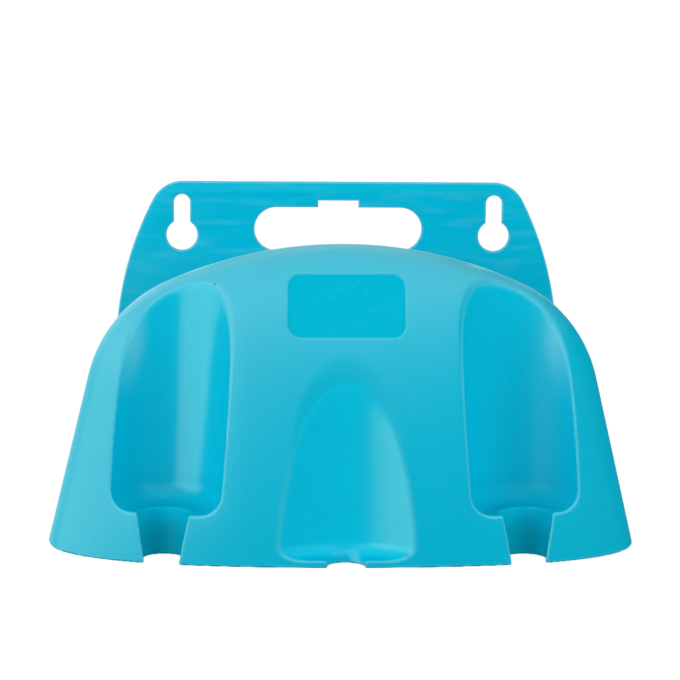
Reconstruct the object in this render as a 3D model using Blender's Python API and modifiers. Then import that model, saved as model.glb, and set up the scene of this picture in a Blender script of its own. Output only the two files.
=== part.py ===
"""Wall hose hanger: a wall plate, a moulded hose cradle and the screws that join them.

The hanger hangs on two keyholes.  Its back lies on the wall plane y = 0, the
front looks along -Y and +Z is up.  Heights are written from the foot of the
cradle, and an empty carries everything, so that the world's origin is the
middle of the back.
The feature that takes most skill is the cradle: a thin bell-shaped moulding
whose pockets, sockets and trough are sunk into a domed front.
"""
import math

import bmesh
import bpy
from mathutils import Vector

# Overall arch of the front rim, seen from the front
RIM_HALF_WIDTH = 0.1360
RIM_HEIGHT = 0.1390
RIM_LEAN_DEGREES = 13.44
RIM_TOP_RADIUS = 0.1970
RIM_CORNER_RADIUS = 0.0640
RIM_EDGE_RADIUS = 0.0008

# Domed front of the cradle, measured out from the wall
RIM_DEPTH = 0.0676
FRONT_DEPTH = 0.1245
PROFILE_POWER = 1.5
PROFILE_ROUNDING = 3.1
SECTION_POWER = 2.42
SECTION_ROUNDING = 2.72
WALL = 0.0022

# Saddle that the hose lies on
SADDLE_HALF_WIDTH = 0.0940
SADDLE_HEIGHT = 0.1180
SADDLE_LEAN_DEGREES = 3.43
SADDLE_TOP_RADIUS = 0.1150
SADDLE_CORNER_RADIUS = 0.0650

# Pockets for nozzles, each with a conical socket through its floor
POCKET_SPACING = 0.1640
POCKET_AXIS_BEHIND_FRONT = 0.0125
POCKET_RADIUS = 0.0252
POCKET_DRAFT_DEGREES = 1.72
POCKET_FLOOR_HEIGHT = 0.0225
POCKET_FILLET = 0.0095
SOCKET_TOP_RADIUS = 0.0116
SOCKET_BOTTOM_RADIUS = 0.0090
SOCKET_EDGE_RADIUS = 0.0012

# Trough in the middle, with a small notch through its floor
TROUGH_RADIUS = 0.0520
TROUGH_AXIS_BEFORE_FRONT = 0.0411
TROUGH_FLOOR_HEIGHT = 0.0034
TROUGH_FILLET = 0.0065
NOTCH_RADIUS = 0.0084
NOTCH_AXIS_FROM_TROUGH_WALL = 0.0098

# Bare label recess in the front
LABEL_WIDTH = 0.0534
LABEL_HEIGHT = 0.0276
LABEL_BELOW_RIM = 0.0248
LABEL_CORNER_RADIUS = 0.0050
LABEL_RECESS = 0.0006

# Wall plate
PLATE_HEIGHT = 0.1592
PLATE_HALF_WIDTH = 0.1067
PLATE_THICKNESS = 0.0030
PLATE_SIDE_RADIUS = 0.1590
PLATE_SIDE_START = 0.0773
PLATE_CORNER_RADIUS = 0.0160
PLATE_FOOT_RADIUS = 0.0060
PLATE_EDGE_RADIUS = 0.0006

# Keyholes and hand hole, measured down from the top of the plate
KEYHOLE_SPACING = 0.1500
KEYHOLE_HEAD_RADIUS = 0.0074
KEYHOLE_SLOT_WIDTH = 0.0077
KEYHOLE_HEAD_BELOW_TOP = 0.0259
KEYHOLE_SLOT_BELOW_TOP = 0.0062
HAND_HOLE_WIDTH = 0.0804
HAND_HOLE_HEIGHT = 0.0210
HAND_HOLE_BELOW_TOP = 0.0123
HANG_NOTCH_WIDTH = 0.0193
HANG_NOTCH_RISE = 0.0033

# Screws that hold the plate to the bosses of the cradle
SCREW_SHANK_RADIUS = 0.00145
SCREW_LENGTH = 0.0120
SCREW_HEAD_RADIUS = 0.0030
SCREW_HEAD_HEIGHT = 0.0016
SCREW_HEAD_SINK = 0.0002
BOSS_RADIUS = 0.0040
BOSS_LENGTH = 0.0150
BOSS_LOW_HEIGHT = 0.0140
BOSS_HIGH_HEIGHT = 0.0640
BOSS_TOP_OFFSET = 0.0400

# Upright webs that stiffen the saddle from below
WEB_OFFSET = 0.0480
WEB_THICKNESS = 0.0018
WEB_FOOT_HEIGHT = 0.0300

# Height of the world's origin above the foot
ORIGIN_HEIGHT = 0.0800

# Clearance between neighbouring pieces, and how far a cutter passes a face
GAP = 0.0003
OVERSHOOT = 0.0040

# How far the raw shapes run below the foot, before it is cut flat
SHELL_DROP = 0.0040
SADDLE_DROP = 0.0055
HOLLOW_DROP = 0.0070
LINER_DROP = 0.0090
GROUND_DROP = 0.0120

# Fineness of the surfaces
SHELL_ROWS = 22
SHELL_COLUMNS = 56
TURN_STEPS = 40
TROUGH_STEPS = 80
SCREW_STEPS = 16
ARC_STEPS = 8

PLASTIC_COLOUR = (0.0, 0.445, 0.658)
STEEL_COLOUR = (0.62, 0.62, 0.60)


def clear_scene():
    """Remove every object that the file opened with."""
    for old in list(bpy.data.objects):
        bpy.data.objects.remove(old, do_unlink=True)


def new_collection(name):
    """Add a collection to the scene."""
    collection = bpy.data.collections.new(name)
    bpy.context.scene.collection.children.link(collection)
    return collection


def new_material(name, colour, roughness, metallic):
    """Make a Principled material."""
    material = bpy.data.materials.new(name)
    material.use_nodes = True
    shader = material.node_tree.nodes["Principled BSDF"]
    shader.inputs["Base Color"].default_value = (*colour, 1.0)
    shader.inputs["Roughness"].default_value = roughness
    shader.inputs["Metallic"].default_value = metallic
    material.diffuse_color = (*colour, 1.0)
    return material


class Workshop:
    """The collections that the pieces and cutters go to, and the empty that carries them."""

    def __init__(self):
        self.parts = new_collection("wall_hose_hanger")
        self.cutters = new_collection("cutters")
        self.foot = bpy.data.objects.new("foot_of_hanger", None)
        self.foot.location = (0.0, 0.0, -ORIGIN_HEIGHT)
        self.parts.objects.link(self.foot)

    def piece(self, obj, material):
        """Keep an object as a piece of the product."""
        self.parts.objects.link(obj)
        obj.parent = self.foot
        obj.data.materials.clear()
        obj.data.materials.append(material)
        return obj

    def cutter(self, obj):
        """Keep an object as a cutter, out of the render."""
        self.cutters.objects.link(obj)
        obj.parent = self.foot
        obj.hide_render = True
        obj.display_type = 'WIRE'
        return obj


def boolean(target, other, operation):
    """Add an exact Boolean to the target."""
    modifier = target.modifiers.new(f"{operation.lower()} {other.name}", 'BOOLEAN')
    modifier.operation = operation
    modifier.solver = 'EXACT'
    modifier.use_hole_tolerant = True
    modifier.object = other


def arc(centre, radius, start, end, steps=ARC_STEPS):
    """Points of an arc from one angle to another, both ends included."""
    angles = [start + (end - start) * step / steps for step in range(steps + 1)]
    return [(centre[0] + radius * math.cos(a), centre[1] + radius * math.sin(a)) for a in angles]


def mirrored(points):
    """Close a right-hand outline, listed from bottom to top, with its mirror image."""
    left = [(-x, z) for x, z in reversed(points) if x > 1e-7]
    return points + left


def prism(name, outline, depth_from, depth_to):
    """Extrude a closed outline in x and z between two depths from the wall."""
    curve = bpy.data.curves.new(name, 'CURVE')
    curve.dimensions = '2D'
    curve.fill_mode = 'BOTH'
    curve.extrude = (depth_to - depth_from) / 2
    spline = curve.splines.new('POLY')
    spline.points.add(len(outline) - 1)
    for point, (x, z) in zip(spline.points, outline):
        point.co = (x, z, 0.0, 1.0)
    spline.use_cyclic_u = True
    drawn = bpy.data.objects.new(name + " outline", curve)
    mesh = bpy.data.meshes.new_from_object(drawn)
    bpy.data.objects.remove(drawn)
    weld = bmesh.new()
    weld.from_mesh(mesh)
    bmesh.ops.remove_doubles(weld, verts=weld.verts, dist=1e-6)
    bmesh.ops.recalc_face_normals(weld, faces=weld.faces)
    weld.to_mesh(mesh)
    weld.free()
    obj = bpy.data.objects.new(name, mesh)
    obj.rotation_euler = (math.pi / 2, 0.0, 0.0)
    obj.location = (0.0, -(depth_from + depth_to) / 2, 0.0)
    return obj


def turned(name, profile, steps=TURN_STEPS):
    """Turn a profile of (radius, height) points, open at the axis ends, about local Z."""
    mesh = bpy.data.meshes.new(name)
    points = [Vector((radius, 0.0, height)) for radius, height in reversed(profile)]
    edges = [(index, index + 1) for index in range(len(points) - 1)]
    mesh.from_pydata(points, edges, [])
    obj = bpy.data.objects.new(name, mesh)
    screw = obj.modifiers.new("turn", 'SCREW')
    screw.steps = steps
    screw.render_steps = steps
    screw.use_merge_vertices = True
    screw.merge_threshold = 1e-6
    return obj


def box(name, x_range, depth_range, z_range):
    """Make a box between limits in x, depth from the wall and height."""
    mesh = bpy.data.meshes.new(name)
    cube = bmesh.new()
    bmesh.ops.create_cube(cube, size=1.0)
    cube.to_mesh(mesh)
    cube.free()
    obj = bpy.data.objects.new(name, mesh)
    obj.scale = (x_range[1] - x_range[0], depth_range[1] - depth_range[0], z_range[1] - z_range[0])
    obj.location = (sum(x_range) / 2, -sum(depth_range) / 2, sum(z_range) / 2)
    return obj


class Arch:
    """An arch with leaning sides, rounded shoulders and a shallow round top."""

    def __init__(self, half_width, height, lean, top_radius, corner_radius):
        self.half_width = half_width
        self.height = height
        self.lean = lean
        self.top_radius = top_radius
        self.corner_radius = corner_radius
        length = math.hypot(1.0, lean)
        normal = Vector((1.0, lean)) / length
        along = Vector((-lean, 1.0)) / length
        self.top_centre = Vector((0.0, height - top_radius))
        start = normal * (half_width / length - corner_radius)
        offset = start - self.top_centre
        across = offset.dot(along)
        reach = (top_radius - corner_radius) ** 2 - offset.length_squared + across ** 2
        self.corner_centre = start + along * (math.sqrt(reach) - across)
        outward = (self.corner_centre - self.top_centre).normalized()
        self.corner_start = (self.corner_centre + normal * corner_radius).y
        self.corner_end = (self.corner_centre + outward * corner_radius).y

    def width_at(self, z):
        """Half the width of the arch at a height."""
        if z <= self.corner_start:
            return self.half_width - self.lean * z
        if z <= self.corner_end:
            rise = z - self.corner_centre.y
            return self.corner_centre.x + math.sqrt(self.corner_radius ** 2 - rise ** 2)
        rise = z - self.top_centre.y
        return math.sqrt(max(self.top_radius ** 2 - rise ** 2, 0.0))

    def height_at(self, x):
        """Height of the arch's top at a place across it."""
        return self.top_centre.y + math.sqrt(self.top_radius ** 2 - x ** 2)

    def inset(self, distance):
        """The same arch, moved inwards."""
        half_width = self.half_width - distance * math.hypot(1.0, self.lean)
        return Arch(half_width, self.height - distance, self.lean,
                    self.top_radius - distance, self.corner_radius - distance)

    def row_heights(self, rows):
        """Heights that crowd together towards the top."""
        return [self.height * math.sin(math.pi / 2 * row / rows) for row in range(rows + 1)]

    def outline(self, drop, rows=SHELL_ROWS):
        """Closed outline of the arch, which runs on below the foot by the drop."""
        heights = [-drop] + self.row_heights(rows)[1:]
        return mirrored([(self.width_at(z), z) for z in heights])


RIM = Arch(RIM_HALF_WIDTH, RIM_HEIGHT, math.tan(math.radians(RIM_LEAN_DEGREES)),
           RIM_TOP_RADIUS, RIM_CORNER_RADIUS)
SADDLE = Arch(SADDLE_HALF_WIDTH, SADDLE_HEIGHT, math.tan(math.radians(SADDLE_LEAN_DEGREES)),
              SADDLE_TOP_RADIUS, SADDLE_CORNER_RADIUS)


TROUGH_AXIS_DEPTH = FRONT_DEPTH + TROUGH_AXIS_BEFORE_FRONT
NOTCH_AXIS_DEPTH = TROUGH_AXIS_DEPTH - TROUGH_RADIUS + NOTCH_AXIS_FROM_TROUGH_WALL


def shell_point(across, up):
    """Point of the domed front; across runs from -1 to 1 and up from 0 to 1."""
    z = RIM_HEIGHT * math.sin(math.pi / 2 * up)
    share = math.sin(math.pi / 2 * across)
    bulge = max(1.0 - (z / RIM_HEIGHT) ** PROFILE_POWER, 0.0) ** (1.0 / PROFILE_ROUNDING)
    section = max(1.0 - abs(share) ** SECTION_POWER, 0.0) ** (1.0 / SECTION_ROUNDING)
    depth = RIM_DEPTH + (FRONT_DEPTH - RIM_DEPTH) * bulge * section
    return Vector((RIM.width_at(z) * share, -depth, z))


def shell_normal(across, up):
    """Outward normal of the domed front."""
    if up > 1.0 - 1e-6:
        return Vector((0.0, 0.0, 1.0))
    step = 1e-4
    right = shell_point(min(across + step, 1.0), up) - shell_point(max(across - step, -1.0), up)
    rise = shell_point(across, min(up + step, 1.0)) - shell_point(across, max(up - step, 0.0))
    normal = right.cross(rise)
    return normal.normalized()


def dome_block(name, inset, drop, edge_radius=0.0):
    """Closed block under the domed front, moved in by the inset and flat at the rim plane.

    The block runs on below the foot by the drop, in line with its lowest row.
    """
    block = bmesh.new()
    rows = []
    for row in range(SHELL_ROWS + 1):
        up = row / SHELL_ROWS
        columns = [0.0] if row == SHELL_ROWS else \
            [2.0 * column / SHELL_COLUMNS - 1.0 for column in range(SHELL_COLUMNS + 1)]
        points = []
        for across in columns:
            point = shell_point(across, up)
            point -= shell_normal(across, up) * inset
            if row == SHELL_ROWS or abs(across) > 1.0 - 1e-6:
                point.y = -RIM_DEPTH
            points.append(block.verts.new(point))
        rows.append(points)
    for foot, above in zip(rows[0], rows[1]):
        slope = (foot.co - above.co) / (above.co.z - foot.co.z)
        foot.co += slope * (foot.co.z + drop)
    for low, high in zip(rows, rows[1:-1]):
        for a, b, c, d in zip(low, low[1:], high[1:], high):
            block.faces.new((a, b, c, d))
    for a, b in zip(rows[-2], rows[-2][1:]):
        block.faces.new((a, b, rows[-1][0]))
    block.faces.new(list(reversed(rows[0])))
    left = [points[0] for points in rows[:-1]]
    right = [points[-1] for points in rows[:-1]]
    block.faces.new(left + [rows[-1][0]] + list(reversed(right)))
    bmesh.ops.recalc_face_normals(block, faces=block.faces)
    mesh = bpy.data.meshes.new(name)
    if edge_radius > 0.0:
        weight = block.edges.layers.float.new("bevel_weight_edge")
        ends = left + [rows[-1][0]] + list(reversed(right))
        for a, b in zip(ends, ends[1:]):
            block.edges.get((a, b))[weight] = 1.0
    block.to_mesh(mesh)
    block.free()
    obj = bpy.data.objects.new(name, mesh)
    if edge_radius > 0.0:
        bevel = obj.modifiers.new("rim edge", 'BEVEL')
        bevel.width = edge_radius
        bevel.segments = 2
        bevel.limit_method = 'WEIGHT'
    return obj


def pocket_profile(grow):
    """Half section of a pocket with its socket; a liner grows it by the wall."""
    floor = POCKET_FLOOR_HEIGHT - grow
    fillet = POCKET_FILLET + grow
    top = RIM_HEIGHT + OVERSHOOT
    wall_foot = POCKET_RADIUS + grow
    draft = math.radians(POCKET_DRAFT_DEGREES)
    foot = -LINER_DROP
    flare = (SOCKET_TOP_RADIUS - SOCKET_BOTTOM_RADIUS) / POCKET_FLOOR_HEIGHT
    socket_foot = SOCKET_BOTTOM_RADIUS + grow + flare * foot
    edge = SOCKET_EDGE_RADIUS
    socket_top = SOCKET_TOP_RADIUS + grow
    points = [(0.0, foot), (socket_foot, foot)]
    if grow > 0.0:
        points.append((socket_top - flare * grow, floor))
    else:
        points.append((socket_top - flare * edge, floor - edge))
        points.append((socket_top + 0.3 * edge, floor - 0.3 * edge))
        points.append((socket_top + edge, floor))
    points += arc((wall_foot - fillet, floor + fillet), fillet, -math.pi / 2, -draft, 5)
    points.append((wall_foot + math.tan(draft) * (top - floor), top))
    points.append((0.0, top))
    return points


def trough_profile(grow):
    """Half section of the trough."""
    floor = TROUGH_FLOOR_HEIGHT - grow
    fillet = TROUGH_FILLET + grow
    top = RIM_HEIGHT + OVERSHOOT
    radius = TROUGH_RADIUS + grow
    points = [(0.0, floor)]
    points += arc((radius - fillet, floor + fillet), fillet, -math.pi / 2, 0.0, 5)
    points += [(radius, top), (0.0, top)]
    return points


def notch_profile(grow):
    """Half section of the notch through the trough floor."""
    radius = NOTCH_RADIUS + grow
    top = TROUGH_FLOOR_HEIGHT + OVERSHOOT - grow
    return [(0.0, -LINER_DROP), (radius, -LINER_DROP), (radius, top), (0.0, top)]


def keyhole_outline(centre_x):
    """Round screw head hole with a slot above it."""
    head = PLATE_HEIGHT - KEYHOLE_HEAD_BELOW_TOP
    top = PLATE_HEIGHT - KEYHOLE_SLOT_BELOW_TOP
    half = KEYHOLE_SLOT_WIDTH / 2
    neck = math.asin(half / KEYHOLE_HEAD_RADIUS)
    points = arc((centre_x, head), KEYHOLE_HEAD_RADIUS, math.pi / 2 + neck, 2.5 * math.pi - neck, 28)
    points += arc((centre_x, top - half), half, 0.0, math.pi, 12)
    return points


def hand_hole_outline():
    """Long hole with round ends and a small hanging notch in its top edge."""
    radius = HAND_HOLE_HEIGHT / 2
    top = PLATE_HEIGHT - HAND_HOLE_BELOW_TOP
    centre = (HAND_HOLE_WIDTH / 2 - radius, top - radius)
    right = arc(centre, radius, -math.pi / 2, math.pi / 2, 14)
    right.append((HANG_NOTCH_WIDTH / 2, top))
    right.append((HANG_NOTCH_WIDTH / 2, top + HANG_NOTCH_RISE))
    return mirrored(right)


def plate_outline():
    """Outline of the wall plate: straight foot, curved sides and a flat top."""
    side_centre = (PLATE_HALF_WIDTH - PLATE_SIDE_RADIUS, PLATE_SIDE_START)
    corner_z = PLATE_HEIGHT - PLATE_CORNER_RADIUS
    reach = PLATE_SIDE_RADIUS - PLATE_CORNER_RADIUS
    corner_x = side_centre[0] + math.sqrt(reach ** 2 - (corner_z - PLATE_SIDE_START) ** 2)
    turn = math.atan2(corner_z - PLATE_SIDE_START, corner_x - side_centre[0])
    foot = (PLATE_HALF_WIDTH - PLATE_FOOT_RADIUS, PLATE_FOOT_RADIUS)
    right = arc(foot, PLATE_FOOT_RADIUS, -math.pi / 2, 0.0, 5)
    right += arc(side_centre, PLATE_SIDE_RADIUS, 0.0, turn, 10)
    right += arc((corner_x, corner_z), PLATE_CORNER_RADIUS, turn, math.pi / 2, 8)[1:]
    return mirrored(right)


def label_outline():
    """Rounded rectangle of the label recess."""
    half = LABEL_WIDTH / 2 - LABEL_CORNER_RADIUS
    centre = RIM_HEIGHT - LABEL_BELOW_RIM
    rise = LABEL_HEIGHT / 2 - LABEL_CORNER_RADIUS
    right = arc((half, centre - rise), LABEL_CORNER_RADIUS, -math.pi / 2, 0.0, 5)
    right += arc((half, centre + rise), LABEL_CORNER_RADIUS, 0.0, math.pi / 2, 5)
    return mirrored(right)


def boss_places():
    """Centres of the screw bosses, in x and z, just inside the saddle."""
    inner = SADDLE.inset(WALL + BOSS_RADIUS * 0.85)
    places = []
    for side in (-1, 1):
        for height in (BOSS_LOW_HEIGHT, BOSS_HIGH_HEIGHT):
            places.append((side * inner.width_at(height), height))
        places.append((side * BOSS_TOP_OFFSET, inner.height_at(BOSS_TOP_OFFSET)))
    return places


def lay_back(obj, x, z, depth):
    """Turn a turned shape so that its axis runs out from the wall."""
    obj.rotation_euler = (math.pi / 2, 0.0, 0.0)
    obj.location = (x, -depth, z)
    return obj


def place_in_middle(obj, steps, depth):
    """Stand a turned shape on the middle line, with the middle of a facet on it."""
    obj.rotation_euler = (0.0, 0.0, math.pi / steps)
    obj.location = (0.0, -depth, 0.0)
    return obj


def hollow_under_shell(shop):
    """The open space inside the cradle, with the liners, bosses and webs left out of it."""
    hollow = shop.cutter(dome_block("shell_hollow", WALL, HOLLOW_DROP))
    reach = RIM_HALF_WIDTH + OVERSHOOT
    flange = box("rim_flange_stock", (-reach, reach), (0.0, RIM_DEPTH + WALL),
                 (-GROUND_DROP, RIM_HEIGHT + OVERSHOOT))
    boolean(hollow, shop.cutter(flange), 'DIFFERENCE')
    inner = SADDLE.inset(WALL).outline(LINER_DROP)
    tunnel = shop.cutter(prism("saddle_tunnel", inner, -OVERSHOOT, RIM_DEPTH + 2 * WALL))
    boolean(hollow, tunnel, 'UNION')
    for side, name in ((-1, "left"), (1, "right")):
        liner = shop.cutter(turned(f"pocket_liner_{name}", pocket_profile(WALL)))
        liner.location = (side * POCKET_SPACING / 2, POCKET_AXIS_BEHIND_FRONT - FRONT_DEPTH, 0.0)
        boolean(hollow, liner, 'DIFFERENCE')
    trough = shop.cutter(place_in_middle(turned("trough_liner", trough_profile(WALL), TROUGH_STEPS),
                                         TROUGH_STEPS, TROUGH_AXIS_DEPTH))
    boolean(hollow, trough, 'DIFFERENCE')
    notch = shop.cutter(place_in_middle(turned("notch_liner", notch_profile(WALL)),
                                        TURN_STEPS, NOTCH_AXIS_DEPTH))
    boolean(hollow, notch, 'DIFFERENCE')
    for side, name in ((-1, "left"), (1, "right")):
        x = side * WEB_OFFSET
        web = box(f"web_stock_{name}", (x - WEB_THICKNESS / 2, x + WEB_THICKNESS / 2),
                  (-2 * OVERSHOOT, FRONT_DEPTH), (WEB_FOOT_HEIGHT, RIM_HEIGHT))
        boolean(hollow, shop.cutter(web), 'DIFFERENCE')
    back = -PLATE_THICKNESS - 2 * OVERSHOOT
    for index, (x, z) in enumerate(boss_places(), start=1):
        profile = [(0.0, back), (BOSS_RADIUS, back), (BOSS_RADIUS, BOSS_LENGTH), (0.0, BOSS_LENGTH)]
        stock = shop.cutter(turned(f"boss_stock_{index}", profile, SCREW_STEPS))
        lay_back(stock, x, z, PLATE_THICKNESS + GAP)
        boolean(hollow, stock, 'DIFFERENCE')
    return hollow


def make_cradle(shop, material):
    """The moulded front: saddle, rim flange, domed shell, pockets, sockets and trough."""
    block = dome_block("hose_cradle", 0.0, SHELL_DROP, RIM_EDGE_RADIUS)
    cradle = shop.piece(block, material)
    label = shop.cutter(prism("label_cut", label_outline(), RIM_DEPTH + WALL, FRONT_DEPTH + OVERSHOOT))
    boolean(label, shop.cutter(dome_block("label_floor", LABEL_RECESS, SHELL_DROP)), 'DIFFERENCE')
    boolean(cradle, label, 'DIFFERENCE')
    saddle = shop.cutter(prism("saddle_stock", SADDLE.outline(SADDLE_DROP), PLATE_THICKNESS + GAP,
                               RIM_DEPTH + WALL / 2))
    boolean(cradle, saddle, 'UNION')
    boolean(cradle, hollow_under_shell(shop), 'DIFFERENCE')
    for side, name in ((-1, "left"), (1, "right")):
        pocket = shop.cutter(turned(f"pocket_cut_{name}", pocket_profile(0.0)))
        pocket.location = (side * POCKET_SPACING / 2, POCKET_AXIS_BEHIND_FRONT - FRONT_DEPTH, 0.0)
        boolean(cradle, pocket, 'DIFFERENCE')
    trough = shop.cutter(place_in_middle(turned("trough_cut", trough_profile(0.0), TROUGH_STEPS),
                                         TROUGH_STEPS, TROUGH_AXIS_DEPTH))
    boolean(cradle, trough, 'DIFFERENCE')
    notch = shop.cutter(place_in_middle(turned("notch_cut", notch_profile(0.0)),
                                        TURN_STEPS, NOTCH_AXIS_DEPTH))
    boolean(cradle, notch, 'DIFFERENCE')
    reach = RIM_HALF_WIDTH + OVERSHOOT
    ground = box("ground", (-reach, reach), (0.0, FRONT_DEPTH + OVERSHOOT), (-GROUND_DROP, 0.0))
    boolean(cradle, shop.cutter(ground), 'DIFFERENCE')
    bore_radius = SCREW_SHANK_RADIUS + GAP
    bore_length = SCREW_LENGTH - PLATE_THICKNESS + 2 * GAP
    for index, (x, z) in enumerate(boss_places(), start=1):
        profile = [(0.0, -OVERSHOOT), (bore_radius, -OVERSHOOT), (bore_radius, bore_length),
                   (0.0, bore_length)]
        bore = shop.cutter(turned(f"boss_bore_{index}", profile, SCREW_STEPS))
        lay_back(bore, x, z, PLATE_THICKNESS)
        boolean(cradle, bore, 'DIFFERENCE')
    return cradle


def make_plate(shop, material):
    """The flat plate that hangs on the wall."""
    plate = shop.piece(prism("wall_plate", plate_outline(), 0.0, PLATE_THICKNESS), material)
    bevel = plate.modifiers.new("edges", 'BEVEL')
    bevel.width = PLATE_EDGE_RADIUS
    bevel.segments = 2
    bevel.limit_method = 'ANGLE'
    bevel.angle_limit = math.radians(60)
    through = (-OVERSHOOT, PLATE_THICKNESS + OVERSHOOT)
    for side, name in ((-1, "left"), (1, "right")):
        outline = keyhole_outline(side * KEYHOLE_SPACING / 2)
        boolean(plate, shop.cutter(prism(f"keyhole_{name}", outline, *through)), 'DIFFERENCE')
    boolean(plate, shop.cutter(prism("hand_hole", hand_hole_outline(), *through)), 'DIFFERENCE')
    for index, (x, z) in enumerate(boss_places(), start=1):
        hole = shop.cutter(turned(f"screw_hole_{index}", screw_hole_profile(), SCREW_STEPS))
        boolean(plate, lay_back(hole, x, z, 0.0), 'DIFFERENCE')
    return plate


def screw_hole_profile():
    """Half section of a countersunk hole through the plate, from the back."""
    head = SCREW_HEAD_RADIUS + GAP
    shank = SCREW_SHANK_RADIUS + GAP
    top = PLATE_THICKNESS + OVERSHOOT
    return [(0.0, -OVERSHOOT), (head, -OVERSHOOT), (head, SCREW_HEAD_SINK),
            (shank, SCREW_HEAD_SINK + SCREW_HEAD_HEIGHT), (shank, top), (0.0, top)]


def screw_profile():
    """Half section of a countersunk screw, with its head at the back of the plate."""
    neck = SCREW_HEAD_SINK + SCREW_HEAD_HEIGHT
    tip = SCREW_HEAD_SINK + SCREW_LENGTH
    shoulder = tip - 2 * SCREW_SHANK_RADIUS
    return [(0.0, SCREW_HEAD_SINK), (SCREW_HEAD_RADIUS, SCREW_HEAD_SINK),
            (SCREW_SHANK_RADIUS, neck), (SCREW_SHANK_RADIUS, shoulder), (0.0, tip)]


def make_screws(shop, material):
    """One countersunk screw in each boss, driven from the back of the plate."""
    for index, (x, z) in enumerate(boss_places(), start=1):
        screw = shop.piece(turned(f"assembly_screw_{index}", screw_profile(), SCREW_STEPS), material)
        lay_back(screw, x, z, 0.0)


def main():
    """Build every piece of the hanger."""
    clear_scene()
    shop = Workshop()
    make_cradle(shop, new_material("cradle_plastic", PLASTIC_COLOUR, 0.42, 0.0))
    make_plate(shop, new_material("plate_plastic", PLASTIC_COLOUR, 0.38, 0.0))
    make_screws(shop, new_material("zinc_plated_steel", STEEL_COLOUR, 0.35, 1.0))


main()
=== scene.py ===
"""Looks of the wall hose hanger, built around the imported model.

The moulded cradle is drawn from one implicit field, so that its pockets, trough
and edges run into each other with the soft fillets of a real moulding.
Lengths in the field are millimetres: x across, depth out from the wall and
height above the foot.
"""
import math

import bmesh
import bpy
import numpy as np
from mathutils import Matrix, Vector


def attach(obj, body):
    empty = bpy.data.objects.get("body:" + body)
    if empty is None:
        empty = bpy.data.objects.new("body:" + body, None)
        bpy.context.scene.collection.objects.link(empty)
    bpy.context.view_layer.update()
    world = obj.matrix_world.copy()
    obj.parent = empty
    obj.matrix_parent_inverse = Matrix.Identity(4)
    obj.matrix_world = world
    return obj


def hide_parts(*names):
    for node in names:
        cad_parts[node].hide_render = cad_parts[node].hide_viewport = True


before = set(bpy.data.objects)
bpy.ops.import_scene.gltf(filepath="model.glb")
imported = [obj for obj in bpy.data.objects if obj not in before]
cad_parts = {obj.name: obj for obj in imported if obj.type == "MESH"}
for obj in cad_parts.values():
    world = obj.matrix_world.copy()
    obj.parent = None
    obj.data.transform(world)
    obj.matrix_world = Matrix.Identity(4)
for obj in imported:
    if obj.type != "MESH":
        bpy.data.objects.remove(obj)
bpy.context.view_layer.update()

# A millimetre in metres, and the height of the foot in the frame in millimetres
MM = 0.001
FOOT = -80.0

# Overall arch of the front rim
RIM_HALF_WIDTH = 136.0
RIM_HEIGHT = 139.0
RIM_LEAN = math.tan(math.radians(13.44))
RIM_TOP_RADIUS = 197.0
RIM_CORNER_RADIUS = 64.0
RIM_EDGE_RADIUS = 0.9

# Domed front; within a margin of its crown the section keeps its width
RIM_DEPTH = 67.6
FRONT_DEPTH = 124.5
PROFILE_POWER = 1.5
PROFILE_ROUNDING = 3.1
SECTION_POWER = 2.42
SECTION_ROUNDING = 2.72
CROWN_MARGIN = 0.3
WALL = 2.2

# Saddle
SADDLE_HALF_WIDTH = 94.0
SADDLE_HEIGHT = 118.0
SADDLE_LEAN = math.tan(math.radians(3.43))
SADDLE_TOP_RADIUS = 115.0
SADDLE_CORNER_RADIUS = 65.0
SADDLE_FILLET = 1.5

# Pockets and sockets
POCKET_X = 82.0
POCKET_DEPTH = 112.0
POCKET_RADIUS = 25.7
POCKET_LEAN = 0.022
POCKET_DRAFT = math.tan(math.radians(1.72))
POCKET_FLOOR = 22.5
POCKET_FILLET = 9.5
SOCKET_TOP_RADIUS = 12.1
SOCKET_FOOT_RADIUS = 9.1
SOCKET_EDGE = 1.2
SOCKET_LIFT = 1.1
SOCKET_LIFT_REACH = 1.5 * WALL
SOCKET_LIFT_EDGE = 0.3

# Trough and its notch
TROUGH_DEPTH = 165.6
TROUGH_RADIUS = 52.0
TROUGH_FLOOR = 3.4
TROUGH_FILLET = 6.5
NOTCH_DEPTH = 123.4
NOTCH_RADIUS = 8.4

# Fillets of the mouths: crisp at the foot, and soft above the second of two heights
MOUTH_FOOT_RADIUS = 1.0
POCKET_MOUTH_RADIUS = 2.6
POCKET_MOUTH_HEIGHTS = (75.0, 115.0)
TROUGH_MOUTH_RADIUS = 2.6
TROUGH_MOUTH_HEIGHTS = (50.0, 80.0)
NOTCH_MOUTH_RADIUS = 2.5
NOTCH_MOUTH_HEIGHTS = (2.5, 5.0)

# How far the front rolls in towards the pockets, and over what distance
MOUTH_ROLL = 0.5
MOUTH_ROLL_REACH = 4.0

# Label recess
LABEL_HALF_WIDTH = 26.4
LABEL_HALF_HEIGHT = 13.2
LABEL_CENTRE = 115.4
LABEL_CORNER = 5.4
LABEL_RECESS = 0.6
LABEL_RAMP = 0.7
LABEL_BACK = 84.0
LABEL_BACK_FADE = (80.0, 85.0)
LABEL_SKIN = 0.9

# Inside of the cradle; the bosses lie inside the saddle by a share of their radius
BACK = 3.3
WEB_X = 48.0
WEB_HALF_THICKNESS = 0.9
WEB_FOOT = 30.0
WEB_CLEARANCE = 0.5
BOSS_RADIUS = 4.0
BOSS_INSET_SHARE = 0.85
BOSS_END = 18.3
BORE_RADIUS = 1.75
BORE_END = 12.6
BOSS_HEIGHTS = (14.0, 64.0)
BOSS_TOP_X = 40.0
INNER_FILLET = 0.8
INNER_EDGE = 0.4
BORE_EDGE = 0.2
FOOT_EDGE = 0.4

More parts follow.
